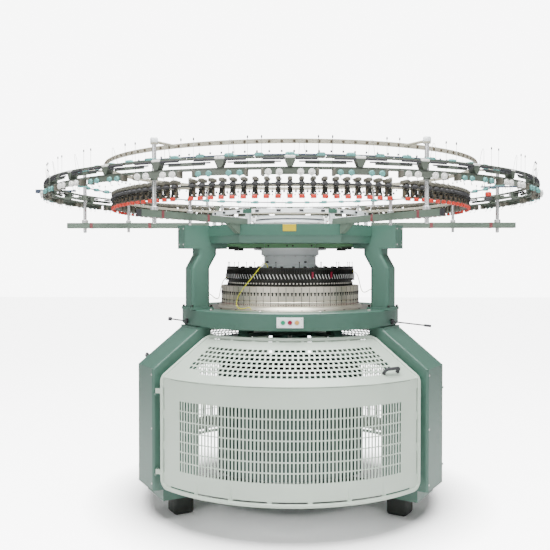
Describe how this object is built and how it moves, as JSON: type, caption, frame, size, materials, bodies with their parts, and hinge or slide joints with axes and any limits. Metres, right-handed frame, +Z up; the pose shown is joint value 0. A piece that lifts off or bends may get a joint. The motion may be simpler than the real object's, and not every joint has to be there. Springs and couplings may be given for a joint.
{
  "type": "circular knitting machine",
  "caption": "Large circular knitting machine on legs, with a needle cylinder and dial under a crown, perforated guard doors and a wide yarn feed ring overhead.",
  "frame": {"origin": "the machine's vertical axis, on the floor", "axes": "+Z up along the cylinder axis, -Y towards the front guard and button panel, +X to the right seen from the front"},
  "size_m": [3.7034, 3.4576, 2.39],
  "materials": {
    "green_paint": "semi-gloss enamel",
    "pale_green_paint": "semi-gloss enamel",
    "guard_paint": "satin powder coat",
    "white_paint": "satin enamel",
    "black_metal": "satin black",
    "black_plastic": "moulded",
    "steel": "ground",
    "cast_steel": "machined casting",
    "cam_steel": "ground",
    "aluminium": "satin",
    "beige_band": "satin",
    "blue_tube": "satin",
    "teal_plastic": "moulded",
    "grey_bracket": "satin",
    "pale_plastic": "moulded",
    "belt_rubber": "toothed",
    "motor_grey": "satin",
    "green_button": "gloss",
    "red_button": "gloss",
    "yellow_button": "gloss",
    "yellow_hose": "flexible tube"
  },
  "bodies": {
    "frame": {"feet": "black_metal", "base_spider": "pale_green_paint", "leg_covers": "green_paint", "leg_posts": "cast_steel", "bed_ring": "green_paint", "bed_plate": "cam_steel", "cam_ring": "cam_steel", "cam_plates": "cam_steel", "feeder_ring": "black_metal", "motor": "motor_grey", "drive_belt": "belt_rubber", "dial_housing": "white_paint", "crown_bridge": "aluminium", "columns": "green_paint", "crown": "green_paint", "crown_cover": "green_paint", "centre_stack": "white_paint", "support_ring": "pale_green_paint", "arms": "green_paint", "poles": "aluminium", "eyelet_ring": "beige_band", "clamp_ring": "blue_tube", "ring_clamps": "teal_plastic", "stop_rail": "aluminium", "stop_boats": "grey_bracket", "stop_bars": "pale_plastic", "feeder_rail": "aluminium", "yarn_feeders": "black_plastic", "feeder_wheels": "black_plastic", "feeder_belt": "belt_rubber", "hinge_brackets": "guard_paint", "button_panel": "white_paint", "outriggers": "black_metal", "left_hose": "yellow_hose", "right_hose": "yellow_hose", "centre_hose": "yellow_hose"},
    "rotor": {"cylinder_gear": "steel", "needle_cylinder": "steel", "takedown_frame": "pale_green_paint"},
    "nip_front": {"nip_roller_front": "steel"},
    "nip_rear": {"nip_roller_rear": "steel"},
    "cloth_roll": {"cloth_roller": "steel"},
    "dial": {"dial": "steel", "dial_gear": "steel"},
    "shaft": {"drive_shaft": "steel"},
    "motor_shaft": {"motor_pulley": "steel"},
    "start_button": {"start_button": "green_button"},
    "stop_button": {"stop_button": "red_button"},
    "inch_button": {"inch_button": "yellow_button"},
    "right_lever": {"right_lever": "black_plastic"},
    "left_lever": {"left_lever": "steel"},
    "guard_front": {"guard_frame_front": "guard_paint", "guard_sheets_front": "guard_paint", "guard_handle_front": "black_plastic"},
    "guard_right": {"guard_frame_right": "guard_paint", "guard_sheets_right": "guard_paint", "guard_handle_right": "black_plastic"},
    "guard_left": {"guard_frame_left": "guard_paint", "guard_sheets_left": "guard_paint", "guard_handle_left": "black_plastic"}
  },
  "joints": [
    {"name": "rotor_spin", "type": "hinge", "parent": "frame", "child": "rotor", "pos_m": [0, 0, 1.3], "axis": [0, 0, 1], "continuous": true},
    {"name": "dial_spin", "type": "hinge", "parent": "frame", "child": "dial", "pos_m": [0, 0, 1.8], "axis": [0, 0, 1], "continuous": true},
    {"name": "shaft_spin", "type": "hinge", "parent": "frame", "child": "shaft", "pos_m": [0, 0.66, 1.4], "axis": [0, 0, 1], "continuous": true},
    {"name": "motor_spin", "type": "hinge", "parent": "frame", "child": "motor_shaft", "pos_m": [0, 1.033, 1], "axis": [0, 0, 1], "continuous": true},
    {"name": "nip_front_spin", "type": "hinge", "parent": "rotor", "child": "nip_front", "pos_m": [0, -0.0423, 0.9], "axis": [1, 0, 0], "continuous": true},
    {"name": "nip_rear_spin", "type": "hinge", "parent": "rotor", "child": "nip_rear", "pos_m": [0, 0.0423, 0.9], "axis": [1, 0, 0], "continuous": true},
    {"name": "cloth_roll_spin", "type": "hinge", "parent": "rotor", "child": "cloth_roll", "pos_m": [0, 0, 0.56], "axis": [1, 0, 0], "continuous": true},
    {"name": "guard_front_hinge", "type": "hinge", "parent": "frame", "child": "guard_front", "pos_m": [-0.85727, -0.68926, 0.6], "axis": [0, 0, -1], "range_deg": [0, 100]},
    {"name": "guard_right_hinge", "type": "hinge", "parent": "frame", "child": "guard_right", "pos_m": [1.02556, -0.39779, 0.6], "axis": [0, 0, -1], "range_deg": [0, 100]},
    {"name": "guard_left_hinge", "type": "hinge", "parent": "frame", "child": "guard_left", "pos_m": [-0.16828, 1.08705, 0.6], "axis": [0, 0, -1], "range_deg": [0, 100]},
    {"name": "start_press", "type": "slide", "parent": "frame", "child": "start_button", "axis": [0, 1, 0], "range_m": [0, 0.004], "stiffness_N_per_m": 600, "springref_m": -0.0005},
    {"name": "stop_press", "type": "slide", "parent": "frame", "child": "stop_button", "axis": [0, 1, 0], "range_m": [0, 0.004], "stiffness_N_per_m": 600, "springref_m": -0.0005},
    {"name": "inch_press", "type": "slide", "parent": "frame", "child": "inch_button", "axis": [0, 1, 0], "range_m": [0, 0.004], "stiffness_N_per_m": 600, "springref_m": -0.0005},
    {"name": "right_lever_turn", "type": "hinge", "parent": "frame", "child": "right_lever", "pos_m": [0.69311, -0.36854, 1.293], "axis": [0.8829, -0.4695, 0], "range_deg": [-25, 25]},
    {"name": "left_lever_turn", "type": "hinge", "parent": "frame", "child": "left_lever", "pos_m": [-0.70555, -0.34412, 1.293], "axis": [-0.8988, -0.4384, 0], "range_deg": [-25, 25]}
  ],
  "couplings": [
    {"joint": "dial_spin", "follows": "rotor_spin", "ratio": 1},
    {"joint": "shaft_spin", "follows": "rotor_spin", "ratio": -5.6},
    {"joint": "motor_spin", "follows": "rotor_spin", "ratio": -9.3333},
    {"joint": "nip_front_spin", "follows": "rotor_spin", "ratio": 0.5},
    {"joint": "nip_rear_spin", "follows": "rotor_spin", "ratio": -0.5},
    {"joint": "cloth_roll_spin", "follows": "rotor_spin", "ratio": 0.35}
  ]
}
